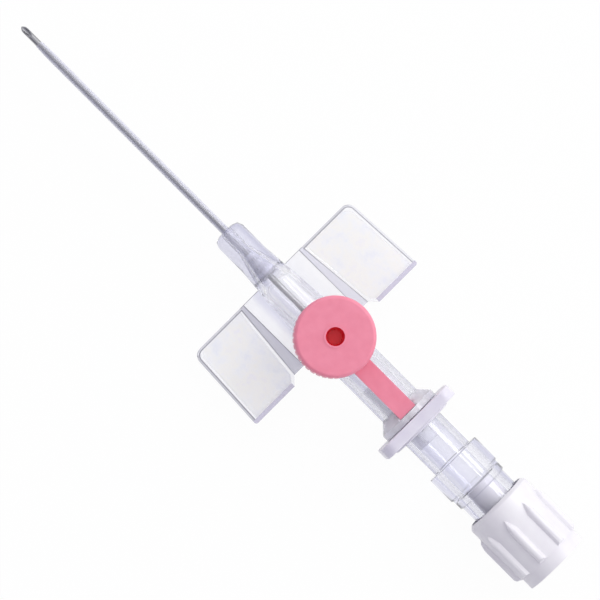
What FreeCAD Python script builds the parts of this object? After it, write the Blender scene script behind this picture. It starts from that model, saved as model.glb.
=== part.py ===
import FreeCAD, Part
import math
import os
import Sketcher

# Winged intravenous cannula with an injection port. The origin is on the catheter's axis at the
# front face of the hub's nose, +X points to the rear cap, +Z to the side with the port.

doc = FreeCAD.newDocument("iv_cannula")
sheet = doc.addObject("Spreadsheet::Sheet", "Sizes")

SIZES = [
    # catheter tube, flared over its bush
    ("CatheterLength", 32.0, "free length in front of the nose"),
    ("CatheterOuter", 0.55, "outer radius"),
    ("CatheterInner", 0.425, "inner radius"),
    ("TipLength", 2.0, "length of the tapered tip"),
    ("TipOuter", 0.47, "outer radius at the tip"),
    ("FlareStart", 3.2, "X where the tube starts to widen"),
    ("FlareEnd", 7.2, "X where the widened tube ends"),
    ("FlareOuter", 1.3, "outer radius of the widened tube"),
    ("BushStart", 4.0, "X of the bush's front edge"),
    ("BushBore", 0.43, "inner radius of the bush"),
    ("BushMouth", 1.1, "inner radius at the bush's rear"),
    ("BushRim", 0.3, "length of the bush behind the tube"),
    # hub barrel
    ("NoseRadius", 2.05, "outer radius of the nose"),
    ("NoseRound", 0.95, "rounding of the nose's front edge"),
    ("NoseStraight", 4.8, "X where the nose starts to widen"),
    ("NoseRear", 2.3, "outer radius at the nose's rear"),
    ("TubeRadius", 2.875, "outer radius of the barrel"),
    ("TubeStart", 15.0, "X where the barrel has its full radius"),
    ("LumenStart", 9.2, "X where the lumen has its full bore"),
    ("LumenRadius", 1.9, "radius of the lumen"),
    ("SkirtFront", 29.9, "X where the barrel widens to the flange"),
    ("FlangeFront", 31.15, "X of the flange's front face"),
    ("FlangeRear", 31.9, "X of the flange's rear face"),
    ("FlangeRadius", 4.06, "outer radius of the luer flange"),
    ("LuerMouth", 2.155, "radius of the luer socket at its mouth"),
    ("LuerDepth", 7.5, "depth of the luer socket"),
    ("LuerTaper", 0.03, "change of luer radius for each mm"),
    ("LuerGap", 0.03, "radial clearance of a luer fit"),
    # wings
    ("WingFront", 7.9, "X of the wings' front edge"),
    ("WingRear", 19.3, "X of the outer wings' rear edge"),
    ("WebRear", 18.3, "X of the web's rear edge"),
    ("WingSpanFront", 13.3, "half span at the front"),
    ("WingSpanRear", 13.9, "half span at the rear"),
    ("NotchInner", 6.35, "Y where the rear edge starts to step back"),
    ("NotchOuter", 7.3, "Y where the rear edge ends its step"),
    ("WingDrop", 2.9, "depth of the underside below the axis"),
    ("WingThickness", 0.8, "thickness of the wings"),
    ("WebHalf", 4.8, "half width of the raised web"),
    ("WedgeFront", 0.5, "rise of the web above the wings at the front"),
    ("WedgeRear", 1.45, "rise of the web above the wings at the rear"),
    ("RimWidth", 0.55, "width of the bead along the rear edge"),
    ("RimHeight", 0.5, "height of the bead along the rear edge"),
    ("WingEdge", 0.3, "chamfer of the wings' upper edges"),
    ("PanelFront", 0.4, "margin in front of the wings' sunk panels"),
    ("PanelSide", 0.65, "margin at the sides of the sunk panels"),
    ("PanelCorner", 0.8, "cut at the front corners of the sunk panels"),
    ("PanelDepth", 0.1, "depth of the sunk panels"),
    ("FrontCorner", 1.2, "radius of the wings' front corners"),
    ("RearCorner", 0.35, "radius of the wings' rear corners"),
    # injection port and its valve
    ("PortX", 18.4, "X of the port's axis"),
    ("PortRadius", 3.0, "outer radius of the port"),
    ("PortTop", 7.6, "height of the port's mouth"),
    ("PortBore", 2.1, "inner radius of the port"),
    ("ValveLength", 8.0, "length of the valve sleeve"),
    ("ValveWall", 0.5, "wall of the valve sleeve"),
    # port cap with its strap
    ("CapRadius", 4.95, "outer radius of the port cap"),
    ("CapBottom", 3.2, "height of the cap's rim"),
    ("CapTop", 9.2, "height of the cap's top"),
    ("CapBore", 4.0, "inner radius of the cap's skirt"),
    ("CapSeatGap", 0.1, "gap between the port's mouth and the cap"),
    ("CapChamfer", 0.3, "chamfer of the cap's top edge"),
    ("PlugRoot", 1.95, "radius of the plug at its root"),
    ("PlugTip", 1.3, "radius of the plug at its tip"),
    ("PlugLength", 2.0, "length of the plug inside the port"),
    ("RecessRadius", 1.15, "radius of the recess in the cap's top"),
    ("RecessFloor", 0.9, "radius of the recess at its floor"),
    ("RecessDepth", 1.9, "depth of the recess"),
    ("LipWidth", 0.25, "width of the lip around the recess"),
    ("LipHeight", 0.08, "height of the lip around the recess"),
    ("KnurlCount", 40, "number of knurl grooves"),
    ("KnurlWidth", 0.3, "width of a knurl groove"),
    ("KnurlDepth", 0.16, "depth of a knurl groove"),
    ("KnurlTop", 0.55, "plain band above the knurl"),
    ("StrapWidth", 2.5, "width of the strap"),
    ("StrapThickness", 0.7, "thickness of the strap"),
    ("StrapGap", 0.1, "gap between the barrel and the strap"),
    ("HingeX", 29.7, "X of the strap's film hinge"),
    ("HingeGap", 0.04, "half width of the split at the film hinge"),
    ("SlotPlay", 0.05, "clearance around the strap's anchor"),
    ("PegX", 30.45, "X of the anchor's peg"),
    ("PegHalf", 0.45, "half width of the anchor's square peg"),
    ("PegDepth", 0.5, "length of the anchor's peg"),
    # needle
    ("NeedleReach", 3.1, "length of needle in front of the catheter"),
    ("NeedleOuter", 0.4, "outer radius of the needle"),
    ("NeedleBore", 0.275, "inner radius of the needle"),
    ("NeedleRear", 34.1, "X of the needle's rear end"),
    ("BevelLength", 1.9, "length of the needle's bevel"),
    ("LancetLength", 0.95, "length of the two side facets"),
    ("LancetTurn", 32, "turn of the side facets about the axis"),
    # needle hub
    ("StemFront", 25.5, "X of the luer stem's front end"),
    ("PlateFront", 32.0, "X of the finger plate's front face"),
    ("PlateThickness", 1.5, "thickness of the finger plate"),
    ("PlateHalf", 5.64, "half width of the finger plate"),
    ("PlateTop", 5.0, "height of the finger plate above the axis"),
    ("PlateFoot", 4.4, "depth of the finger plate below the axis"),
    ("PlateCorner", 1.6, "radius of the finger plate's corners"),
    ("BossRadius", 4.3, "radius of the boss behind the plate"),
    ("BossRear", 33.8, "X of the boss's rear face"),
    ("SpigotLength", 1.8, "length of the spigot in the chamber"),
    ("SpigotBore", 1.3, "inner radius of the spigot"),
    ("SpigotFloor", 32.8, "X of the floor of the spigot's bore"),
    # flash chamber
    ("ChamberRadius", 2.88, "outer radius of the chamber"),
    ("ChamberBore", 2.1, "inner radius of the chamber"),
    ("CollarFront", 39.0, "X of the collar's front face"),
    ("CollarRear", 42.7, "X of the collar's rear face"),
    ("CollarRadius", 3.8, "outer radius of the collar"),
    ("RingRear", 44.1, "X of the neck ring's rear face"),
    ("RingRadius", 3.6, "outer radius of the neck ring"),
    ("NeckRadius", 3.35, "outer radius of the luer neck"),
    ("NeckRear", 50.5, "X of the neck's mouth"),
    ("LugRadius", 3.9, "radius over the luer lugs"),
    ("LugWidth", 0.9, "width of a luer lug"),
    ("LugAngle", 70, "angle that a luer lug spans"),
    ("LugCount", 2, "number of luer lugs"),
    # luer cap and its filter
    ("LuerCapFront", 46.4, "X of the luer cap's front edge"),
    ("LuerCapRadius", 4.55, "outer radius of the luer cap"),
    ("LuerCapEdge", 0.45, "chamfer of the luer cap's front edge"),
    ("LuerCapBore", 4.02, "inner radius of the luer cap"),
    ("LuerCapFloor", 54.6, "X of the floor inside the luer cap"),
    ("RibFront", 48.1, "X where the ribs start"),
    ("RibFull", 49.9, "X where the ribs reach full width"),
    ("RibRear", 55.3, "X where the ribs end"),
    ("RibRadius", 5.15, "radius over the ribs"),
    ("RibWidth", 1.4, "width of a rib at its foot"),
    ("RibDraft", 20, "slope of the ribs' sides"),
    ("RibEdge", 0.22, "chamfer of the ribs' upper edges"),
    ("RibCount", 9, "number of ribs"),
    ("RibTurn", 14, "turn of the first rib from the top"),
    ("TailRear", 56.9, "X of the luer cap's rear face"),
    ("TailRadius", 4.3, "outer radius of the luer cap's tail"),
    ("CoreFront", 43.2, "X of the front end of the inner cone"),
    ("CoreBore", 1.3, "bore of the inner cone"),
    ("CoreBoreEnd", 53.8, "X where the bore of the inner cone ends"),
    ("FilterInset", 0.3, "depth of the filter behind the cone's end"),
    ("FilterLength", 2.0, "length of the filter"),
    ("FilterGap", 0.02, "radial clearance of the filter"),
]


def fill_sheet():
    """Writes each driving size to the sheet, under its name."""
    for row, (alias, size, note) in enumerate(SIZES, start=1):
        sheet.set(f"A{row}", alias)
        sheet.set(f"B{row}", str(size))
        sheet.setAlias(f"B{row}", alias)
        sheet.set(f"C{row}", note)
    doc.recompute()


def value(text):
    """The number that an expression gives."""
    result = sheet.evalExpression(text)
    return float(getattr(result, "Value", result))


def size(text):
    """An expression with the sheet's name put before each alias."""
    words = []
    word = ""
    for letter in text + " ":
        if letter.isalnum():
            word += letter
            continue
        words.append(f"Sizes.{word}" if word[:1].isupper() else word)
        words.append(letter)
        word = ""
    return "".join(words).strip()


def make_body(label):
    body = doc.addObject("PartDesign::Body", label)
    body.Label = label
    return body


def plane_of(body, role):
    return next(item for item in body.Origin.OriginFeatures if item.Role == role)


def make_sketch(body, name, role, lift=None, turn=None):
    """A sketch on an origin plane, lifted along its normal and turned about its own X."""
    sketch = body.newObject("Sketcher::SketchObject", name)
    sketch.AttachmentSupport = (plane_of(body, role), [""])
    sketch.MapMode = "FlatFace"
    if lift:
        sketch.setExpression("AttachmentOffset.Base.z", size(lift))
    if turn:
        sketch.AttachmentOffset = FreeCAD.Placement(
            FreeCAD.Vector(), FreeCAD.Rotation(FreeCAD.Vector(1, 0, 0), value(size(turn))))
    return sketch


def bind(sketch, kind, geometry, text):
    """A dimension whose value is an expression."""
    full = size(text)
    index = sketch.addConstraint(Sketcher.Constraint(kind, *geometry, value(full)))
    sketch.setExpression(f"Constraints[{index}]", full)


def place(sketch, edge, corner, across, up):
    """Ties a point to the sketch's origin by two expressions."""
    if across == "0":
        sketch.addConstraint(Sketcher.Constraint("PointOnObject", edge, corner, -2))
    else:
        bind(sketch, "DistanceX", (edge, corner), across)
    if up == "0":
        sketch.addConstraint(Sketcher.Constraint("PointOnObject", edge, corner, -1))
    else:
        bind(sketch, "DistanceY", (edge, corner), up)


def draw_outline(sketch, points):
    """A closed outline of straight edges through points given as expressions."""
    corners = [FreeCAD.Vector(value(size(x)), value(size(y)), 0) for x, y in points]
    count = len(corners)
    first = sketch.GeometryCount
    for index in range(count):
        following = corners[(index + 1) % count]
        sketch.addGeometry(Part.LineSegment(corners[index], following), False)
    for index in range(count):
        after = first + (index + 1) % count
        sketch.addConstraint(Sketcher.Constraint("Coincident", first + index, 2, after, 1))
    for index, (x, y) in enumerate(points):
        place(sketch, first + index, 1, x, y)


def draw_circle(sketch, x, y, radius):
    centre = FreeCAD.Vector(value(size(x)), value(size(y)), 0)
    circle = Part.Circle(centre, FreeCAD.Vector(0, 0, 1), value(size(radius)))
    edge = sketch.addGeometry(circle, False)
    place(sketch, edge, 3, x, y)
    bind(sketch, "Radius", (edge,), radius)


def box_points(left, right, half):
    return [(left, f"-({half})"), (right, f"-({half})"), (right, half), (left, half)]


def spin(body, name, points, kind="Revolution", axis="H_Axis"):
    """A turned form, or a turned cut, about an axis of its sketch."""
    sketch = make_sketch(body, name + "Profile", "XZ_Plane")
    draw_outline(sketch, points)
    feature = body.newObject("PartDesign::" + kind, name)
    feature.Profile = sketch
    feature.ReferenceAxis = (sketch, [axis])
    feature.Angle = 360
    doc.recompute()
    return feature


def extrude(body, name, sketch, length, kind="Pad", midplane=False, upward=False):
    """A pad or pocket of a sketch. A pocket runs against the sketch's normal."""
    feature = body.newObject("PartDesign::" + kind, name)
    feature.Profile = sketch
    feature.setExpression("Length", size(length))
    feature.Midplane = midplane
    feature.Reversed = upward
    doc.recompute()
    return feature


def repeat(body, name, feature, count, role="X_Axis"):
    """Copies of a feature, evenly round an axis of the body."""
    pattern = body.newObject("PartDesign::PolarPattern", name)
    pattern.Originals = [feature]
    pattern.Axis = (plane_of(body, role), [""])
    pattern.Angle = 360
    pattern.setExpression("Occurrences", size(count))
    body.Tip = pattern
    doc.recompute()
    return pattern


def soften(body, name, kind, amount, choose):
    """A fillet or chamfer on the edges that choose picks."""
    base = body.Tip
    names = [f"Edge{n}" for n, edge in enumerate(base.Shape.Edges, start=1) if choose(edge)]
    feature = body.newObject("PartDesign::" + kind, name)
    feature.Base = (base, names)
    feature.setExpression("Radius" if kind == "Fillet" else "Size", size(amount))
    doc.recompute()
    return feature


def upright_edge(x, y):
    """Picks the straight upright edge that stands at X and at Y to either side."""
    def choose(edge):
        middle = edge.CenterOfMass
        upright = all(abs(v.X - middle.x) < 0.001 and abs(v.Y - middle.y) < 0.001 for v in edge.Vertexes)
        near = abs(middle.x - x) < 0.01 and abs(abs(middle.y) - y) < 0.01
        return upright and near and len(edge.Vertexes) == 2
    return choose


def ring_edge(x, radius):
    """Picks the round edge about the X axis at X, of a radius."""
    def choose(edge):
        if edge.Curve.TypeId != "Part::GeomCircle":
            return False
        centre = edge.Curve.Center
        return abs(centre.x - x) < 0.001 and abs(edge.Curve.Radius - radius) < 0.001
    return choose


# Expressions that more than one piece uses
CATHETER_WALL = "(CatheterOuter - CatheterInner)"
FLARE_SLOPE = "(FlareOuter - CatheterOuter) / (FlareEnd - FlareStart)"
NOSE_BEVEL = "NoseRound * (1 - sqrt(0.5))"
BUSH_END = "FlareEnd + BushRim"
LUER_FRONT = "FlangeRear - LuerDepth"
LUER_ROOT = "LuerMouth - LuerDepth * LuerTaper"
STRAP_FOOT = "TubeRadius + StrapGap"
WING_TOP = "-WingDrop + WingThickness"


def make_catheter_tube():
    body = make_body("catheter_tube")
    spin(body, "Tube", [
        ("-CatheterLength", "CatheterInner"),
        ("-CatheterLength", "TipOuter"),
        ("-CatheterLength + TipLength", "CatheterOuter"),
        ("FlareStart", "CatheterOuter"),
        ("FlareEnd", "FlareOuter"),
        ("FlareEnd", f"FlareOuter - {CATHETER_WALL}"),
        ("FlareStart", "CatheterInner"),
    ])
    return body


def make_catheter_bush():
    body = make_body("catheter_bush")
    spin(body, "Bush", [
        ("BushStart", "BushBore"),
        ("BushStart", f"CatheterInner + (BushStart - FlareStart) * {FLARE_SLOPE}"),
        ("FlareEnd", f"FlareOuter - {CATHETER_WALL}"),
        ("FlareEnd", "FlareOuter"),
        (BUSH_END, "FlareOuter"),
        (BUSH_END, "BushMouth"),
    ])
    return body


def add_wings(body):
    """Flat wings with chamfered upper edges and a sunk panel on each side."""
    plate = make_sketch(body, "WingOutline", "XY_Plane", "-WingDrop")
    draw_outline(plate, [
        ("WingFront", "-WingSpanFront"),
        ("WingRear", "-WingSpanRear"),
        ("WingRear", "-NotchOuter"),
        ("WebRear", "-NotchInner"),
        ("WebRear", "NotchInner"),
        ("WingRear", "NotchOuter"),
        ("WingRear", "WingSpanRear"),
        ("WingFront", "WingSpanFront"),
    ])
    extrude(body, "Wings", plate, "WingThickness")
    front = value("Sizes.WingFront")
    span = value("Sizes.WingSpanFront")
    top = value(size(WING_TOP))
    soften(body, "FrontCorners", "Fillet", "FrontCorner", upright_edge(front, span))

    def upper_edge(edge):
        """Picks the upper edges at the front, round its corners and at the wings' ends."""
        at_front = edge.BoundBox.XMin < front + 0.001
        at_end = min(abs(vertex.Y) for vertex in edge.Vertexes) > span - 0.001
        return edge.BoundBox.ZMin > top - 0.001 and (at_front or at_end)
    soften(body, "UpperEdges", "Chamfer", "min(WingEdge; WingThickness * 0.9)", upper_edge)

    for side, name in (("", "LeftPanel"), ("-", "RightPanel")):
        panel = make_sketch(body, name + "Outline", "XY_Plane", WING_TOP)
        draw_outline(panel, [
            ("WingFront + PanelFront", f"{side}(WebHalf + WedgeFront + PanelFront)"),
            ("WingFront + PanelFront", f"{side}(WingSpanFront - PanelSide - PanelCorner)"),
            ("WingFront + PanelFront + PanelCorner", f"{side}(WingSpanFront - PanelSide)"),
            ("WingRear - RimWidth", f"{side}(WingSpanRear - PanelSide)"),
            ("WingRear - RimWidth", f"{side}NotchOuter"),
            ("WebRear - PanelFront", f"{side}(WebHalf + WedgeRear + PanelFront)"),
        ])
        extrude(body, name, panel, "PanelDepth", "Pocket")


def add_web(body):
    """Raised web that carries the wings, and the bead along the wings' rear edges."""
    sections = []
    for name, x, rise in (("WebFrontEnd", "WingFront", "WedgeFront"), ("WebRearEnd", "WebRear", "WedgeRear")):
        section = make_sketch(body, name, "YZ_Plane", x)
        draw_outline(section, [
            (f"-WebHalf - {rise}", "-WingDrop"),
            (f"WebHalf + {rise}", "-WingDrop"),
            (f"WebHalf + {rise}", WING_TOP),
            ("WebHalf", f"{WING_TOP} + {rise}"),
            ("-WebHalf", f"{WING_TOP} + {rise}"),
            (f"-WebHalf - {rise}", WING_TOP),
        ])
        sections.append(section)
    web = body.newObject("PartDesign::AdditiveLoft", "Web")
    web.Profile = sections[0]
    web.Sections = [sections[1]]
    web.Ruled = True
    doc.recompute()

    edge_slope = "(WingSpanRear - WingSpanFront) / (WingRear - WingFront)"
    for side, name in (("", "LeftBead"), ("-", "RightBead")):
        bead = make_sketch(body, name + "Outline", "XY_Plane", "-WingDrop")
        draw_outline(bead, [
            ("WingRear - RimWidth", f"{side}(NotchOuter)"),
            ("WingRear", f"{side}(NotchOuter)"),
            ("WingRear", f"{side}(WingSpanRear)"),
            ("WingRear - RimWidth", f"{side}(WingSpanRear - RimWidth * {edge_slope})"),
        ])
        extrude(body, name, bead, "WingThickness + RimHeight")
    corner = upright_edge(value("Sizes.WingRear"), value("Sizes.WingSpanRear"))
    soften(body, "RearCorners", "Fillet", "RearCorner", corner)


def make_catheter_hub():
    body = make_body("catheter_hub")
    add_wings(body)
    add_web(body)
    spin(body, "Barrel", [
        ("0", "0"),
        ("0", "NoseRadius - NoseRound"),
        (NOSE_BEVEL, f"NoseRadius - {NOSE_BEVEL}"),
        ("NoseRound", "NoseRadius"),
        ("NoseStraight", "NoseRadius"),
        ("WingFront", "NoseRear"),
        ("TubeStart", "TubeRadius"),
        ("SkirtFront", "TubeRadius"),
        ("FlangeFront", "FlangeRadius"),
        ("FlangeRear", "FlangeRadius"),
        ("FlangeRear", "0"),
    ])

    port = make_sketch(body, "PortOutline", "XY_Plane")
    draw_circle(port, "PortX", "0", "PortRadius")
    extrude(body, "Port", port, "PortTop")

    slot = make_sketch(body, "StrapSlotOutline", "XY_Plane", "FlangeRadius")
    draw_outline(slot, box_points("SkirtFront - StrapGap", "FlangeFront", "StrapWidth / 2 + SlotPlay"))
    extrude(body, "StrapSlot", slot, f"FlangeRadius - ({STRAP_FOOT})", "Pocket")
    peg_hole = make_sketch(body, "PegHoleOutline", "XY_Plane", STRAP_FOOT)
    draw_outline(peg_hole, box_points("PegX - PegHalf", "PegX + PegHalf", "PegHalf"))
    extrude(body, "PegHole", peg_hole, "PegDepth", "Pocket")

    spin(body, "Lumen", [
        ("0", "0"),
        ("0", "CatheterOuter"),
        ("FlareStart", "CatheterOuter"),
        ("FlareEnd", "FlareOuter"),
        (BUSH_END, "FlareOuter"),
        ("LumenStart", "LumenRadius"),
        (LUER_FRONT, "LumenRadius"),
        (LUER_FRONT, LUER_ROOT),
        ("FlangeRear", "LuerMouth"),
        ("FlangeRear", "0"),
    ], "Groove")
    bore = make_sketch(body, "PortBoreOutline", "XY_Plane", "PortTop")
    draw_circle(bore, "PortX", "0", "PortBore")
    extrude(body, "PortBoreCut", bore, "PortTop", "Pocket")
    return body


def make_port_valve():
    """Soft sleeve that closes the port's lower end from inside."""
    body = make_body("port_valve")
    spin(body, "Sleeve", [
        ("PortX - ValveLength / 2", "LumenRadius - ValveWall"),
        ("PortX - ValveLength / 2", "LumenRadius"),
        ("PortX + ValveLength / 2", "LumenRadius"),
        ("PortX + ValveLength / 2", "LumenRadius - ValveWall"),
    ])
    return body


def make_strap_anchor():
    """End of the strap behind its film hinge, pegged into the barrel."""
    body = make_body("strap_anchor")
    block = make_sketch(body, "BlockOutline", "XY_Plane", STRAP_FOOT)
    draw_outline(block, box_points("HingeX + HingeGap", "FlangeFront - SlotPlay", "StrapWidth / 2"))
    extrude(body, "Block", block, "StrapThickness")
    peg = make_sketch(body, "PegOutline", "XY_Plane", STRAP_FOOT)
    draw_outline(peg, box_points("PegX - PegHalf", "PegX + PegHalf", "PegHalf"))
    extrude(body, "Peg", peg, "PegDepth", upward=True)
    return body


def make_port_cap():
    """Port cap, with its plug, knurled skirt and strap. It is drawn about the port's axis."""
    body = make_body("port_cap")
    ceiling = "PortTop + CapSeatGap"
    spin(body, "Cap", [
        ("0", "PortTop - PlugLength"),
        ("PlugTip", "PortTop - PlugLength"),
        ("PlugRoot", "PortTop"),
        ("PlugRoot", ceiling),
        ("CapBore", ceiling),
        ("CapBore", "CapBottom"),
        ("CapRadius", "CapBottom"),
        ("CapRadius", "CapTop - CapChamfer"),
        ("CapRadius - CapChamfer", "CapTop"),
        ("RecessRadius + LipWidth", "CapTop"),
        ("RecessRadius + LipWidth", "CapTop + LipHeight"),
        ("RecessRadius", "CapTop + LipHeight"),
        ("RecessFloor", "CapTop - RecessDepth"),
        ("0", "CapTop - RecessDepth"),
    ], axis="V_Axis")
    groove = make_sketch(body, "KnurlOutline", "XY_Plane", "CapBottom")
    draw_outline(groove, [
        ("CapRadius - KnurlDepth", "0"),
        ("CapRadius + KnurlDepth", "-KnurlWidth"),
        ("CapRadius + KnurlDepth", "KnurlWidth"),
    ])
    cut = extrude(body, "KnurlGroove", groove, "CapTop - CapBottom - KnurlTop", "Pocket", upward=True)
    repeat(body, "Knurl", cut, "KnurlCount", "Z_Axis")
    strap = make_sketch(body, "StrapOutline", "XY_Plane", STRAP_FOOT)
    draw_outline(strap, box_points("CapBore", "HingeX - HingeGap - PortX", "StrapWidth / 2"))
    extrude(body, "Strap", strap, "StrapThickness")
    body.setExpression("Placement.Base.x", size("PortX"))
    return body


def make_needle():
    """Hollow needle with a main bevel that faces up and two side facets at its point."""
    body = make_body("needle")
    tip = "(-CatheterLength - NeedleReach)"
    spin(body, "Shank", [
        (tip, "NeedleBore"),
        (tip, "NeedleOuter"),
        ("NeedleRear", "NeedleOuter"),
        ("NeedleRear", "NeedleBore"),
    ])
    bevel = make_sketch(body, "BevelOutline", "XZ_Plane")
    draw_outline(bevel, [
        (tip, "-NeedleOuter"),
        (f"{tip} + BevelLength", "NeedleOuter"),
        (tip, "NeedleOuter"),
    ])
    extrude(body, "Bevel", bevel, "NeedleOuter * 4", "Pocket", midplane=True)
    for name, turn in (("LeftFacet", "LancetTurn"), ("RightFacet", "-LancetTurn")):
        facet = make_sketch(body, name + "Outline", "XZ_Plane", turn=turn)
        draw_outline(facet, [
            (tip, "-NeedleOuter"),
            (f"{tip} + LancetLength", "NeedleOuter"),
            (tip, "NeedleOuter"),
        ])
        extrude(body, name, facet, "NeedleOuter * 4", "Pocket", midplane=True)
    return body


def make_needle_hub():
    """Luer stem, finger plate and the spigot that carries the flash chamber."""
    body = make_body("needle_hub")
    spigot_rear = "BossRear + SpigotLength"
    spin(body, "Core", [
        ("StemFront", "NeedleOuter"),
        ("StemFront", "LuerMouth - LuerGap - (FlangeRear - StemFront) * LuerTaper"),
        ("PlateFront", "LuerMouth - LuerGap"),
        ("PlateFront", "BossRadius"),
        ("BossRear", "BossRadius"),
        ("BossRear", "ChamberBore"),
        (spigot_rear, "ChamberBore"),
        (spigot_rear, "SpigotBore"),
        ("SpigotFloor", "SpigotBore"),
        ("SpigotFloor", "NeedleOuter"),
    ])
    plate = make_sketch(body, "PlateOutline", "YZ_Plane", "PlateFront")
    draw_outline(plate, [
        ("-PlateHalf", "-PlateFoot"),
        ("PlateHalf", "-PlateFoot"),
        ("PlateHalf", "PlateTop"),
        ("-PlateHalf", "PlateTop"),
    ])
    draw_circle(plate, "0", "0", "(BossRadius + ChamberBore) / 2")
    extrude(body, "Plate", plate, "PlateThickness")
    half = value("Sizes.PlateHalf")

    def corner(edge):
        ends = edge.Vertexes
        along = len(ends) == 2 and abs(ends[0].Y - ends[1].Y) + abs(ends[0].Z - ends[1].Z) < 0.001
        return along and abs(abs(ends[0].Y) - half) < 0.001
    soften(body, "PlateCorners", "Fillet", "PlateCorner", corner)
    return body


def make_flash_chamber():
    """Clear chamber with a collar and a luer neck that has two lugs."""
    body = make_body("flash_chamber")
    cone_front = "NeckRear - LuerDepth"
    spin(body, "Chamber", [
        ("BossRear", "ChamberBore"),
        ("BossRear", "ChamberRadius"),
        ("CollarFront", "ChamberRadius"),
        ("CollarFront", "CollarRadius"),
        ("CollarRear", "CollarRadius"),
        ("CollarRear", "RingRadius"),
        ("RingRear", "RingRadius"),
        ("RingRear", "NeckRadius"),
        ("NeckRear", "NeckRadius"),
        ("NeckRear", "LuerMouth"),
        (cone_front, LUER_ROOT),
        (cone_front, "ChamberBore"),
    ])
    sketch = make_sketch(body, "LugProfile", "XZ_Plane")
    middle = "(LuerMouth + NeckRadius) / 2"
    draw_outline(sketch, [
        ("NeckRear - LugWidth", middle),
        ("NeckRear", middle),
        ("NeckRear", "LugRadius"),
        ("NeckRear - LugWidth", "LugRadius"),
    ])
    lug = body.newObject("PartDesign::Revolution", "Lug")
    lug.Profile = sketch
    lug.ReferenceAxis = (sketch, ["H_Axis"])
    lug.setExpression("Angle", size("LugAngle"))
    lug.Midplane = True
    doc.recompute()
    repeat(body, "Lugs", lug, "LugCount")
    return body


def make_vent_filter():
    """Porous plug that lets air out of the chamber through the luer cap's cone."""
    body = make_body("vent_filter")
    spin(body, "Filter", [
        ("CoreFront + FilterInset", "0"),
        ("CoreFront + FilterInset", "CoreBore - FilterGap"),
        ("CoreFront + FilterInset + FilterLength", "CoreBore - FilterGap"),
        ("CoreFront + FilterInset + FilterLength", "0"),
    ])
    return body


def make_luer_cap():
    """Ribbed luer cap with its inner cone."""
    body = make_body("luer_cap")
    spin(body, "Shell", [
        ("CoreFront", "CoreBore"),
        ("CoreFront", "LuerMouth - LuerGap - (NeckRear - CoreFront) * LuerTaper"),
        ("NeckRear", "LuerMouth - LuerGap"),
        ("LuerCapFloor", "LuerMouth - LuerGap"),
        ("LuerCapFloor", "LuerCapBore"),
        ("LuerCapFront", "LuerCapBore"),
        ("LuerCapFront", "LuerCapRadius"),
        ("RibRear", "LuerCapRadius"),
        ("RibRear", "TailRadius"),
        ("TailRear", "TailRadius"),
        ("TailRear", "0"),
        ("CoreBoreEnd", "0"),
        ("CoreBoreEnd", "CoreBore"),
    ])
    front = ring_edge(value("Sizes.LuerCapFront"), value("Sizes.LuerCapRadius"))
    soften(body, "FrontEdge", "Chamfer", "min(LuerCapEdge; (LuerCapRadius - LuerCapBore) * 0.95)", front)
    foot = "(LuerCapBore + LuerCapRadius) / 2"
    outline = make_sketch(body, "RibOutline", "XY_Plane", foot)
    draw_outline(outline, [
        ("RibFront", "0"),
        ("RibFull", "-RibWidth / 2"),
        ("RibRear", "-RibWidth / 2"),
        ("RibRear", "RibWidth / 2"),
        ("RibFull", "RibWidth / 2"),
    ])
    rib = extrude(body, "Rib", outline, f"RibRadius - {foot}")
    rib.setExpression("TaperAngle", size("-RibDraft"))
    doc.recompute()
    repeat(body, "Ribs", rib, "RibCount")
    crest = value("Sizes.RibRadius")

    def upper_edge(edge):
        return min(math.hypot(vertex.Y, vertex.Z) for vertex in edge.Vertexes) > crest - 0.001
    soften(body, "RibEdges", "Chamfer", "RibEdge", upper_edge)
    body.setExpression("Placement.Rotation.Angle", size("RibTurn"))
    body.Placement.Rotation.Axis = FreeCAD.Vector(1, 0, 0)
    return body


def check_document():
    """Stops if an object has failed or a piece isn't a sound solid."""
    for item in doc.Objects:
        if "Invalid" in item.State or "Error" in item.State:
            raise SystemExit(f"{item.Label} failed: {item.State}")
    for body in pieces:
        if body.Shape.isNull() or not body.Shape.isValid():
            raise SystemExit(f"{body.Label} isn't a valid shape")


fill_sheet()
pieces = [
    make_catheter_tube(),
    make_catheter_bush(),
    make_catheter_hub(),
    make_port_valve(),
    make_strap_anchor(),
    make_port_cap(),
    make_needle(),
    make_needle_hub(),
    make_flash_chamber(),
    make_vent_filter(),
    make_luer_cap(),
]
doc.recompute()
check_document()
os.makedirs("parts", exist_ok=True)
for body in pieces:
    body.Shape.exportStep(f"parts/{body.Label}.step")
    box = body.Shape.BoundBox
    print(f"{body.Label}: {len(body.Shape.Solids)} solid, {body.Shape.Volume:.2f} mm3,"
          f" X {box.XMin:.2f} to {box.XMax:.2f}, Y {box.YMin:.2f} to {box.YMax:.2f},"
          f" Z {box.ZMin:.2f} to {box.ZMax:.2f}")
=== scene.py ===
import math

import bmesh
import bpy
from mathutils import Matrix, Vector


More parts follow.
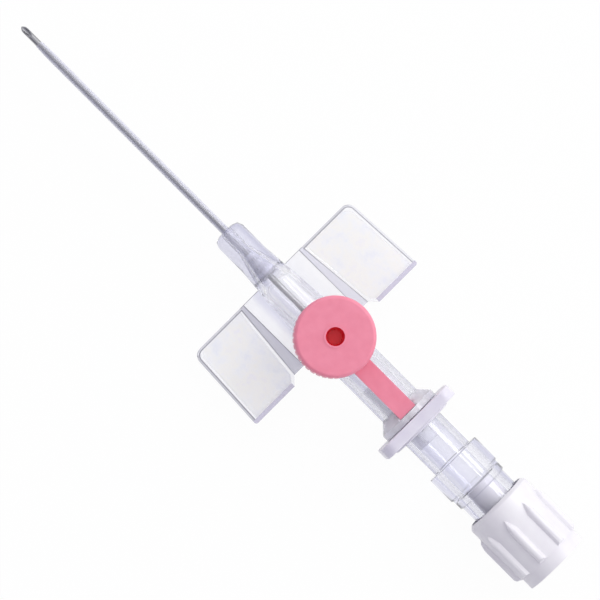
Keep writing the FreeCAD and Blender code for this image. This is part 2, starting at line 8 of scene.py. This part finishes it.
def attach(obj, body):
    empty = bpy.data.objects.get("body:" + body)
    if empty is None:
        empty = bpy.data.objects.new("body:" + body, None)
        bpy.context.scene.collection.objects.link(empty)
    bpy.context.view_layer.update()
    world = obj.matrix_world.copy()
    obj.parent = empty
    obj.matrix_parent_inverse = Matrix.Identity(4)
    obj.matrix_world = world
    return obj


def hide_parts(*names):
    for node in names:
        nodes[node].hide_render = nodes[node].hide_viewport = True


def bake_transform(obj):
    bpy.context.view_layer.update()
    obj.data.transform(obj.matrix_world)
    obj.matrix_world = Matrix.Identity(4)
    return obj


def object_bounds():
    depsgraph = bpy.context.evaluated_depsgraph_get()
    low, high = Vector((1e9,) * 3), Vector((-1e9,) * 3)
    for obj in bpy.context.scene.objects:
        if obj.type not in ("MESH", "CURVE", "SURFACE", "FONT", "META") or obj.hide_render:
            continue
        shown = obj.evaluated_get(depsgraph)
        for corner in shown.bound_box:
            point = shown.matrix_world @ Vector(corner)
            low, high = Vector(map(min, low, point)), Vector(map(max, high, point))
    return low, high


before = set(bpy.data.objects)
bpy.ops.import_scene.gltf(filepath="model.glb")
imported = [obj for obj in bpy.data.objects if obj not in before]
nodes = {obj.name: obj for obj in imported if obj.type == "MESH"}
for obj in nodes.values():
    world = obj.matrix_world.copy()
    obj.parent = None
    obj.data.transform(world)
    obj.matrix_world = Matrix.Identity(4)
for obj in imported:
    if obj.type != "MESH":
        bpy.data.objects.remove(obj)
cad_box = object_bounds()

MM = 0.001

# The photograph's view: its scale, how far the axis is turned in it, and where its middle lies
IMAGE_SIDE = 600
PIXELS_PER_MM = 8.25
AXIS_TURN = math.radians(45.08)
VIEW_CENTRE = Vector((12.32, 0.5, 0.0)) * MM
VIEW_DISTANCE = 0.6
VIEW_LEAN = math.radians(2.5)
SENSOR = 36.0
CLIP_START = 0.01

# The studio's tones, from its dark side to its bright one, and its lamps: name, side, place, power
BRIGHT_SIDE = Vector((0.15, 0.8, 0.55)).normalized()
STUDIO_TONES = (
    (0.15, (0.22, 0.21, 0.26, 1)),
    (0.5, (0.56, 0.56, 0.62, 1)),
    (0.85, (0.95, 0.95, 0.95, 1)),
)
STUDIO_STRENGTH = 1.12
LAMPS = (
    ("key", 0.08, (0.04, 0.25, 0.25), 0.12),
    ("side", 0.3, (0.08, 0.32, 0.2), 0.26),
)

# Where the floor is seen, this share of it is a glow. The glow is white except for the painted
# shade band that shows through clear plastic. The rest is grey and takes shadows.
FLOOR_SIDE = 4.0
FLOOR_GAP = 0.02 * MM
FLOOR_GREY = 0.9
FLOOR_ROUGHNESS = 0.9
GLOW_SHARE = 0.96

# Seen through clear plastic, the floor has a painted lavender shade band, darkest a little to the
# -Y side of the axis, which stands for the studio's darker side. These are its tones, over this
# width across the axis
BACKDROP_WIDTH = 9 * MM
BACKDROP_SHADE_TONES = (
    (0.1, (0.96, 0.96, 0.98, 1)),
    (0.2, (0.72, 0.72, 0.85, 1)),
    (1.0, (0.98, 0.98, 0.99, 1)),
)

# Noise values where a mottled tone reaches its dark and its light colour
MOTTLE_DARK = 0.3
MOTTLE_LIGHT = 0.7

# What the plastics and steels have in common
WHITE = (1, 1, 1, 1)
PLASTIC_IOR = 1.49
FACING_BLEND = 0.5
CLOUD_SCALE = 1500.0
CLOUD_TINT = (0.97, 0.97, 0.98, 1)
SHADOW_TINT = (0.96, 0.96, 0.975, 1)
GRAIN_DEPTH = 0.01 * MM
STEEL_BLUE = 1.06

# Places on the CAD part that the finish depends on
PORT_X = 18.4 * MM
RECESS_RADIUS = 1.17 * MM
RECESS_FLOOR = 7.25 * MM
CAP_TOP = 9.15 * MM
RIM_LEVEL = 8.7 * MM
RIM_RADIUS = 3.0 * MM
PANEL_LEVEL = -2.2 * MM
WING_TOP = -2.1 * MM
BARREL_HALF = 3.2 * MM
BARREL_RADIUS = 2.95 * MM
BORE_RADIUS = 2.5 * MM
SKIRT_FRONT = 29.9 * MM
WEB_FRONT = 7.9 * MM
WEB_REAR = 24.0 * MM
BEAD_FRONT = 18.7 * MM
LEVEL_PLAY = 0.03 * MM
LUER_CAP_MOUTH = 46.6 * MM
LUER_CAP_STEP = 55.0 * MM

# The film hinge: the split between port_cap and strap_anchor, and the stretch that bends
SPLIT_FRONT = 29.66 * MM
SPLIT_REAR = 29.74 * MM
BEND_FRONT = 28.9 * MM
BEND_REAR = 29.95 * MM
BEND_STEPS = 7

# The luer cones touch in the CAD part. Seen through clear plastic they need a hair's gap.
CONE_INNER = 1.5 * MM
CONE_OUTER = 2.3 * MM
CONE_EASE = 0.965

# The step at the front of the hub's luer socket, from the lumen's radius to the socket's
SOCKET_FRONT = 24.4 * MM
STEP_INNER = 1.87 * MM
STEP_OUTER = 1.96 * MM

# How far a face's normal rises where it counts as level, as looking up or as steep
LEVEL = 0.975
WELL_UP = 0.5
STEEP = 0.1
JUST_UP = 0.05

# How far the edges of each piece are rounded
HUB_ROUND = 0.07 * MM
TUBE_ROUND = 0.02 * MM
NEEDLE_ROUND = 0.01 * MM
PORT_CAP_ROUND = 0.15 * MM
PLATE_ROUND = 0.1 * MM
CHAMBER_ROUND = 0.12 * MM
LUER_CAP_ROUND = 0.1 * MM
ROUND_SEGMENTS = 2

WELD = 0.002 * MM
SHARP = math.radians(18)
CREASE_SHARP = math.radians(26)


def linear(red, green, blue):
    """A colour as Blender's nodes take it, from the 0 to 255 values seen on a screen."""
    def curve(level):
        part = level / 255
        return part / 12.92 if part <= 0.04045 else ((part + 0.055) / 1.055) ** 2.4
    return (curve(red), curve(green), curve(blue), 1.0)


def grey(level):
    return (level, level, level, 1)


def new_material(name):
    """A new node material, its node tree and its Principled shader."""
    material = bpy.data.materials.new(name)
    material.use_nodes = True
    shader = material.node_tree.nodes["Principled BSDF"]
    return material, material.node_tree, shader


def set_inputs(node, **values):
    """Sets a node's inputs by name, with _ for a space."""
    for name, setting in values.items():
        node.inputs[name.replace("_", " ")].default_value = setting


def add_node(tree, kind, **values):
    node = tree.nodes.new(kind)
    set_inputs(node, **values)
    return node


def feed(tree, socket, value):
    """Links a socket to another socket, or sets it to a plain value."""
    if isinstance(value, bpy.types.NodeSocket):
        tree.links.new(value, socket)
    else:
        socket.default_value = value


def math_node(tree, operation, *values):
    """A Math node whose inputs are sockets or numbers."""
    node = tree.nodes.new("ShaderNodeMath")
    node.operation = operation
    for socket, value in zip(node.inputs, values):
        feed(tree, socket, value)
    return node.outputs[0]


def noise(tree, scale, detail=3.0, roughness=0.5, stretch=(1.0, 1.0, 1.0)):
    """Noise over the piece, with its scale in cells for each metre."""
    where = tree.nodes.new("ShaderNodeTexCoord")
    mapping = add_node(tree, "ShaderNodeMapping", Scale=stretch)
    texture = add_node(tree, "ShaderNodeTexNoise", Scale=scale, Detail=detail, Roughness=roughness)
    tree.links.new(where.outputs["Object"], mapping.inputs["Vector"])
    tree.links.new(mapping.outputs["Vector"], texture.inputs["Vector"])
    return texture.outputs["Fac"]


def ramp(tree, factor, stops):
    """A colour ramp of (place, colour) stops."""
    node = tree.nodes.new("ShaderNodeValToRGB")
    elements = node.color_ramp.elements
    while len(elements) < len(stops):
        elements.new(0.5)
    for element, (place, colour) in zip(elements, stops):
        element.position = place
        element.color = colour
    tree.links.new(factor, node.inputs["Fac"])
    return node.outputs["Color"]


def mottled(tree, pattern, dark, light):
    """A tone that wanders between two colours as the pattern does."""
    return ramp(tree, pattern, [(MOTTLE_DARK, dark), (MOTTLE_LIGHT, light)])


def mix_colour(tree, factor, first, second, blend="MIX"):
    """The two colours blended. Each argument is a socket or a plain value."""
    node = tree.nodes.new("ShaderNodeMix")
    node.data_type = "RGBA"
    node.blend_type = blend
    for name, value in (("Factor", factor), ("A", first), ("B", second)):
        feed(tree, next(s for s in node.inputs if s.name == name and s.enabled), value)
    return next(s for s in node.outputs if s.enabled)


def mix_shaders(tree, factor, first, second):
    """Shows the first shader where the factor is 0 and the second where it is 1."""
    blend = tree.nodes.new("ShaderNodeMixShader")
    tree.links.new(factor, blend.inputs["Fac"])
    tree.links.new(first.outputs[0], blend.inputs[1])
    tree.links.new(second.outputs[0], blend.inputs[2])
    tree.links.new(blend.outputs[0], tree.nodes["Material Output"].inputs["Surface"])


def add_bump(tree, shader, height, strength, distance):
    bump = add_node(tree, "ShaderNodeBump", Strength=strength, Distance=distance)
    tree.links.new(height, bump.inputs["Height"])
    tree.links.new(bump.outputs["Normal"], shader.inputs["Normal"])


def moulded_plastic(name, dark, light, cloud, roughness, inside, depth,
                    spread=(1.0, 1.0, 1.0), grain=5000.0, relief=0.12):
    """Opaque plastic, faintly mottled, with a fine grain and a little light under its surface.

    cloud and grain are the scales of the mottling and the grain. inside is the share of the
    light that enters, depth how far it goes, and spread how far each colour of it goes.
    """
    material, tree, shader = new_material(name)
    tree.links.new(mottled(tree, noise(tree, cloud), dark, light), shader.inputs["Base Color"])
    set_inputs(shader, Roughness=roughness, Subsurface_Weight=inside, Subsurface_Scale=depth,
               Subsurface_Radius=spread)
    add_bump(tree, shader, noise(tree, grain), relief, GRAIN_DEPTH)
    return material


def cap_plastic(name, dark, light):
    """The satin plastic of the port cap."""
    return moulded_plastic(name, dark, light, cloud=900.0, roughness=0.42, inside=0.15,
                           depth=0.4 * MM, spread=(1.0, 0.6, 0.6), grain=6000.0, relief=0.2)


def milky_plastic():
    return moulded_plastic("milky_plastic", linear(218, 214, 228), linear(226, 223, 234),
                           cloud=500.0, roughness=0.3, inside=0.3, depth=0.6 * MM)


def white_plastic():
    return moulded_plastic("white_plastic", linear(230, 227, 234), linear(236, 234, 239),
                           cloud=400.0, roughness=0.35, inside=0.1, depth=0.5 * MM)


def steel(name, dark, light, roughness):
    """Drawn steel between two greys, with fine lines along the axis."""
    material, tree, shader = new_material(name)
    drawn = noise(tree, scale=9000.0, stretch=(0.05, 1.0, 1.0))
    tones = [(level, level, level * STEEL_BLUE, 1) for level in (dark, light)]
    tree.links.new(mottled(tree, drawn, *tones), shader.inputs["Base Color"])
    set_inputs(shader, Metallic=1.0, Roughness=roughness)
    return material


def clear_plastic(name, body_colour, edge_colour, roughness, transmission):
    """Clear moulding whose rims are a little darker, as light is bent away there.

    For shadow rays it is only tinted, so that the lamps light what lies inside it.
    """
    material, tree, shader = new_material(name)
    facing = add_node(tree, "ShaderNodeLayerWeight", Blend=FACING_BLEND)
    tone = mix_colour(tree, facing.outputs["Facing"], body_colour, edge_colour)
    cloud = mottled(tree, noise(tree, CLOUD_SCALE), CLOUD_TINT, WHITE)
    tree.links.new(mix_colour(tree, 1.0, tone, cloud, "MULTIPLY"), shader.inputs["Base Color"])
    set_inputs(shader, Transmission_Weight=transmission, IOR=PLASTIC_IOR, Roughness=roughness)
    path = tree.nodes.new("ShaderNodeLightPath")
    film = add_node(tree, "ShaderNodeBsdfTransparent", Color=SHADOW_TINT)
    mix_shaders(tree, path.outputs["Is Shadow Ray"], shader, film)
    return material


def hazy_wall(name, dark, light, middle, flank):
    """Thin milky wall: what is inside shows along its middle, and its flanks are denser."""
    material, tree, shader = new_material(name)
    facing = add_node(tree, "ShaderNodeLayerWeight", Blend=FACING_BLEND)
    haze = ramp(tree, facing.outputs["Facing"], [(0.03, grey(middle)), (0.3, grey(flank))])
    tree.links.new(haze, shader.inputs["Alpha"])
    tone = mottled(tree, noise(tree, scale=700.0), dark, light)
    tree.links.new(tone, shader.inputs["Base Color"])
    set_inputs(shader, Roughness=0.25)
    return material


def frosted_panel():
    """Etched face of the wings' panels, pearly and faintly mottled."""
    material, tree, shader = new_material("frosted_panel")
    pearl = ramp(tree, noise(tree, scale=330.0, detail=5.0, roughness=0.65), [
        (0.3, linear(239, 242, 253)),
        (0.45, linear(251, 252, 254)),
        (0.57, linear(254, 253, 249)),
        (0.72, linear(246, 245, 254)),
    ])
    tree.links.new(pearl, shader.inputs["Base Color"])
    set_inputs(shader, Transmission_Weight=0.5, IOR=PLASTIC_IOR, Roughness=0.5)
    add_bump(tree, shader, noise(tree, scale=7000.0, detail=2.0), 0.5, 2 * GRAIN_DEPTH)
    return material


def hub_finishes():
    """The clear hub's materials, by the names that hub_face gives. They are copies of one clear
    plastic in different tones, and the crease, rim and slope copies are painted darker as shade.
    """
    return {
        "barrel": clear_plastic("clear_hub", (0.97, 0.97, 0.985, 1), (0.66, 0.66, 0.78, 1),
                                roughness=0.05, transmission=0.88),
        "panel": frosted_panel(),
        "bead": clear_plastic("clear_bead", linear(205, 201, 222), linear(170, 166, 195),
                              roughness=0.2, transmission=0.4),
        # Painted shade: the rounded creases are painted dark grey, for the dark lines that bent
        # light draws along clear edges
        "crease": clear_plastic("clear_edge_painted_dark", linear(150, 150, 160), linear(138, 138, 150),
                                roughness=0.3, transmission=0.2),
        # Painted shade: the wings' rounded outer edges are painted grey, for the grey outline that
        # bent light draws there
        "rim": clear_plastic("clear_rim_painted_grey", linear(228, 228, 232), linear(212, 212, 220),
                             roughness=0.2, transmission=0.35),
        # Painted shade: the wings' sloped faces are painted greyer and more lavender than the
        # clear plastic, on both sides alike; the lamps also shade the two sides apart
        "slope": clear_plastic("clear_slope_painted_shade", linear(222, 221, 231), linear(196, 195, 210),
                               roughness=0.2, transmission=0.5),
        "web": clear_plastic("clear_web", linear(254, 254, 255), linear(225, 225, 235),
                             roughness=0.05, transmission=0.85),
        "nose": clear_plastic("clear_nose", (0.92, 0.92, 0.965, 1), (0.45, 0.45, 0.6, 1),
                              roughness=0.05, transmission=0.88),
        "skirt": clear_plastic("clear_skirt", linear(248, 247, 252), linear(228, 227, 238),
                               roughness=0.15, transmission=0.45),
        "bore": clear_plastic("clear_bore", (0.98, 0.98, 0.99, 1), (0.93, 0.93, 0.96, 1),
                              roughness=0.05, transmission=0.92),
    }


def is_sharp(edge):
    return len(edge.link_faces) == 2 and edge.calc_face_angle() > SHARP


def is_ridge(edge):
    """True for a sharp edge that stands out."""
    return is_sharp(edge) and edge.is_convex


def is_port_cap_rim(edge):
    """True for the port cap's upper rim. Its grooves and its strap are too fine to round."""
    return is_ridge(edge) and all(
        vert.co.z > RIM_LEVEL and math.hypot(vert.co.x - PORT_X, vert.co.y) > RIM_RADIUS
        for vert in edge.verts)


def is_luer_cap_ridge(edge):
    """True for the luer cap's ridges between its thin mouth and the step at its rear."""
    return is_ridge(edge) and all(LUER_CAP_MOUTH < v.co.x < LUER_CAP_STEP for v in edge.verts)


def is_crease(edge):
    """True for an edge of the wings or web between upward faces, and for the web's front edge."""
    middle = (edge.verts[0].co + edge.verts[1].co) / 2
    if not is_sharp(edge) or abs(middle.y) < BARREL_HALF or middle.x > WEB_REAR:
        return False
    flatter, steeper = sorted((f.normal.z for f in edge.link_faces), reverse=True)
    on_front = middle.x < WEB_FRONT + LEVEL_PLAY and middle.z > WING_TOP and flatter > WELL_UP
    return steeper > JUST_UP or on_front


def plain_face(middle, normal, rounded):
    return "body"


def hub_face(middle, normal, rounded):
    """The name of the hub's finish there. Only the creases are rounded."""
    off_axis = math.hypot(middle.y, middle.z)
    if middle.x > SKIRT_FRONT and off_axis > BARREL_RADIUS:
        return "skirt"
    if middle.x < WEB_FRONT - LEVEL_PLAY and abs(middle.y) < BARREL_HALF:
        return "nose"
    if off_axis < BORE_RADIUS:
        return "bore"
    if abs(middle.y) < BARREL_HALF or middle.x > WEB_REAR:
        return "barrel"
    # Rounded creases take the finish that is painted dark as shade
    if rounded:
        return "crease"
    if middle.x > BEAD_FRONT and middle.z > WING_TOP + LEVEL_PLAY:
        return "bead"
    if normal.z > LEVEL:
        return "panel" if abs(middle.z - PANEL_LEVEL) < LEVEL_PLAY else "web"
    if normal.z < STEEP:
        return "barrel"
    # Rims and slopes take finishes that are painted darker as shade
    return "rim" if middle.z < WING_TOP else "slope"


def plate_face(middle, normal, rounded):
    """The thin-walled stem and spigot of the needle hub, or its plate."""
    return "stem" if math.hypot(middle.y, middle.z) < CONE_OUTER else "plate"


def port_cap_face(middle, normal, rounded):
    """The inside of the recess in the port cap's top, or the rest of the cap."""
    reach = math.hypot(middle.x - PORT_X, middle.y)
    return "recess" if reach < RECESS_RADIUS and RECESS_FLOOR < middle.z < CAP_TOP else "cap"


def rounded_copy(name, sources, width, finishes, pick, shape=None, chosen=is_sharp):
    """One piece made from copies of CAD nodes, with its chosen edges rounded.

    finishes holds its materials by name. pick gives the name for a face from the face's
    middle, its normal and whether it is on a rounded edge. shape changes the form before its
    edges are rounded. Blender's clamp narrows every round of a piece to what its tightest
    edge can take, so it is used only where all the sharp edges are rounded. Where only the
    creases are rounded, the faces are shaded smooth up to an angle instead.
    """
    piece = bpy.data.objects.new(name, bpy.data.meshes.new(name))
    bpy.context.collection.objects.link(piece)
    form = bmesh.new()
    for source in sources:
        form.from_mesh(nodes[source].data)
    bmesh.ops.remove_doubles(form, verts=form.verts, dist=WELD)
    bmesh.ops.dissolve_degenerate(form, edges=form.edges, dist=WELD)
    if shape:
        shape(form)
    rounds = bmesh.ops.bevel(form, geom=[e for e in form.edges if chosen(e)], offset=width,
                             segments=ROUND_SEGMENTS, profile=0.5, affect="EDGES",
                             clamp_overlap=chosen is is_sharp)
    rounded = set(rounds["faces"])
    names = list(finishes)
    for face in form.faces:
        face.smooth = True
        finish = pick(face.calc_center_median(), face.normal, face in rounded)
        face.material_index = names.index(finish)
    for edge in form.edges:
        edge.smooth = not is_sharp(edge) or any(f in rounded for f in edge.link_faces)
    for material in finishes.values():
        piece.data.materials.append(material)
    form.to_mesh(piece.data)
    form.free()
    if chosen is is_crease:
        piece.data.set_sharp_from_angle(angle=CREASE_SHARP)
    weigh = piece.modifiers.new("even_shading", "WEIGHTED_NORMAL")
    weigh.keep_sharp = True
    return piece


def ease_cones(form):
    """Draws the luer cones in, clear of the sockets that they sit in."""
    for vert in form.verts:
        if CONE_INNER < math.hypot(vert.co.y, vert.co.z) < CONE_OUTER:
            vert.co.y *= CONE_EASE
            vert.co.z *= CONE_EASE


def close_step(form):
    """Closes the hair-wide step at the front of the luer socket, which would show dark."""
    ring = []
    for vert in form.verts:
        reach = math.hypot(vert.co.y, vert.co.z)
        if abs(vert.co.x - SOCKET_FRONT) < LEVEL_PLAY and STEP_INNER < reach < STEP_OUTER:
            vert.co.y *= (STEP_INNER + STEP_OUTER) / 2 / reach
            vert.co.z *= (STEP_INNER + STEP_OUTER) / 2 / reach
            ring.append(vert)
    bmesh.ops.remove_doubles(form, verts=ring, dist=WELD)


def join_strap(form):
    """Closes the split at the film hinge and cuts the strap across along the hinge, where the real
    strap bends.
    """
    ends = [f for f in form.faces if any(all(abs(v.co.x - x) < WELD for v in f.verts)
                                         for x in (SPLIT_FRONT, SPLIT_REAR))]
    bmesh.ops.delete(form, geom=ends, context="FACES")
    bmesh.ops.bridge_loops(form, edges=[e for e in form.edges if e.is_boundary])
    for step in range(BEND_STEPS + 1):
        cut = BEND_FRONT + (BEND_REAR - BEND_FRONT) * step / BEND_STEPS
        bmesh.ops.bisect_plane(form, geom=form.verts[:] + form.edges[:] + form.faces[:],
                               plane_co=(cut, 0, 0), plane_no=(1, 0, 0))


def dress(node, material):
    """Gives a CAD node its material."""
    mesh = nodes[node].data
    mesh.materials.clear()
    mesh.materials.append(material)


def refine(node, body, width, finishes, pick=plain_face, shape=None, chosen=is_sharp):
    """A copy of a CAD node with edges rounded, which stands for the node."""
    piece = rounded_copy(node + "_moulding", [node], width, finishes, pick, shape, chosen)
    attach(piece, body)
    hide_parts(node)


def make_hub():
    refine("catheter_hub", "catheter", HUB_ROUND, hub_finishes(), hub_face,
           close_step, is_crease)
    # Painted light: the bush's steel is made much lighter than steel, so that it shows pale in the
    # shade inside the clear nose
    dress("catheter_bush", steel("bush_steel_painted_light", 0.86, 0.91, roughness=0.7))
    dress("port_valve", clear_plastic("silicone", (0.92, 0.91, 0.95, 1), (0.75, 0.75, 0.82, 1),
                                      roughness=0.4, transmission=0.7))


def make_tube_and_needle():
    wall = hazy_wall("catheter_tube", linear(228, 228, 243), linear(236, 236, 248),
                     middle=0.08, flank=0.58)
    refine("catheter_tube", "catheter", TUBE_ROUND, {"body": wall})
    # Painted reflection: the needle's steel is made darker than steel, for the dark line that a
    # dark reflection draws along it
    needle = steel("needle_steel_painted_dark", 0.34, 0.38, roughness=0.32)
    refine("needle", "needle_unit", NEEDLE_ROUND, {"body": needle}, chosen=is_ridge)


def make_port_cap():
    """The cap, its strap and the strap's peg: one moulding, joined across the film hinge."""
    finishes = {
        "cap": cap_plastic("pink_plastic", linear(235, 135, 158), linear(240, 143, 166)),
        "recess": cap_plastic("red_recess", linear(226, 24, 50), linear(234, 30, 58)),
    }
    piece = rounded_copy("port_cap_moulding", ["port_cap", "strap_anchor"], PORT_CAP_ROUND,
                         finishes, port_cap_face, join_strap, is_port_cap_rim)
    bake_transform(piece)
    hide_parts("port_cap", "strap_anchor")


def make_plate_and_chamber():
    """The needle's finger plate with its stem and spigot, and the flash chamber."""
    plate = {
        "plate": milky_plastic(),
        "stem": hazy_wall("milky_stem", linear(238, 237, 246), linear(246, 245, 251),
                          middle=0.16, flank=0.4),
    }
    refine("needle_hub", "needle_unit", PLATE_ROUND, plate, plate_face,
           ease_cones, is_ridge)
    chamber = clear_plastic("clear_chamber", (0.96, 0.96, 0.985, 1), (0.6, 0.6, 0.74, 1),
                            roughness=0.02, transmission=0.95)
    refine("flash_chamber", "needle_unit", CHAMBER_ROUND, {"body": chamber})


def make_luer_cap():
    """The ribbed cap and the filter inside it."""
    white = white_plastic()
    refine("luer_cap", "luer_cap", LUER_CAP_ROUND, {"body": white},
           shape=ease_cones, chosen=is_luer_cap_ridge)
    dress("vent_filter", white)


def background_rays(tree):
    """1 where a ray shows the background: seen straight on, in a reflection or through glass."""
    path = tree.nodes.new("ShaderNodeLightPath")
    seen = math_node(tree, "ADD", path.outputs["Is Camera Ray"], path.outputs["Is Glossy Ray"])
    seen = math_node(tree, "ADD", seen, path.outputs["Is Transmission Ray"])
    return math_node(tree, "MINIMUM", seen, 1.0)


def backdrop_with_painted_shade(tree):
    """The background's colour: white, but seen through glass it has a painted lavender shade band
    across the axis, for the studio's darker side.
    """
    where = tree.nodes.new("ShaderNodeTexCoord")
    place = tree.nodes.new("ShaderNodeSeparateXYZ")
    tree.links.new(where.outputs["Object"], place.inputs["Vector"])
    across = math_node(tree, "MULTIPLY_ADD", place.outputs["Y"], 1 / BACKDROP_WIDTH, 0.5)
    path = tree.nodes.new("ShaderNodeLightPath")
    return mix_colour(tree, path.outputs["Is Transmission Ray"], WHITE,
                      ramp(tree, across, BACKDROP_SHADE_TONES))


def make_floor():
    """A pale floor under the object's lowest point, which keeps a soft shadow."""
    level = cad_box[0].z - FLOOR_GAP
    bpy.ops.mesh.primitive_plane_add(size=FLOOR_SIDE, location=(0, 0, level))
    floor = bpy.context.object
    floor.name = "floor"
    material, tree, shader = new_material("floor")
    set_inputs(shader, Base_Color=grey(FLOOR_GREY), Roughness=FLOOR_ROUGHNESS)
    glow = add_node(tree, "ShaderNodeEmission", Strength=1.0)
    tree.links.new(backdrop_with_painted_shade(tree), glow.inputs["Color"])
    share = math_node(tree, "MULTIPLY", background_rays(tree), GLOW_SHARE)
    mix_shaders(tree, share, shader, glow)
    floor.data.materials.append(material)


def make_world():
    """A studio that is bright on the left wing's side and lavender grey on the other."""
    world = bpy.data.worlds.new("studio")
    bpy.context.scene.world = world
    world.use_nodes = True
    tree = world.node_tree
    where = tree.nodes.new("ShaderNodeTexCoord")
    towards = tree.nodes.new("ShaderNodeVectorMath")
    towards.operation = "DOT_PRODUCT"
    towards.inputs[1].default_value = BRIGHT_SIDE
    tree.links.new(where.outputs["Generated"], towards.inputs[0])
    share = math_node(tree, "MULTIPLY_ADD", towards.outputs["Value"], 0.5, 0.5)
    background = tree.nodes["Background"]
    tree.links.new(ramp(tree, share, STUDIO_TONES), background.inputs["Color"])
    set_inputs(background, Strength=STUDIO_STRENGTH)


def make_lamp(name, side, place, power):
    """A square soft light that points at the object."""
    lamp = bpy.data.lights.new(name, "AREA")
    lamp.shape = "SQUARE"
    lamp.size = side
    lamp.energy = power
    light = bpy.data.objects.new(name, lamp)
    light.location = place
    light.rotation_mode = "QUATERNION"
    light.rotation_quaternion = (Vector(place) - VIEW_CENTRE).to_track_quat("Z", "Y")
    bpy.context.collection.objects.link(light)


def make_camera():
    """A long lens almost straight above, turned so that the axis runs across the picture."""
    data = bpy.data.cameras.new("camera")
    data.sensor_width = SENSOR
    field = IMAGE_SIDE / PIXELS_PER_MM * MM
    data.lens = SENSOR * VIEW_DISTANCE / field
    data.clip_start = CLIP_START
    camera = bpy.data.objects.new("camera", data)
    bpy.context.collection.objects.link(camera)
    lean = Matrix.Rotation(VIEW_LEAN, 4, "X")
    turn = Matrix.Rotation(AXIS_TURN, 4, "Z")
    back = Matrix.Translation((0, 0, VIEW_DISTANCE))
    camera.matrix_world = Matrix.Translation(VIEW_CENTRE) @ lean @ turn @ back
    bpy.context.scene.camera = camera


make_hub()
make_tube_and_needle()
make_port_cap()
make_plate_and_chamber()
make_luer_cap()
make_floor()
make_world()
for lamp in LAMPS:
    make_lamp(*lamp)
make_camera()
bpy.context.scene.view_settings.view_transform = "Standard"
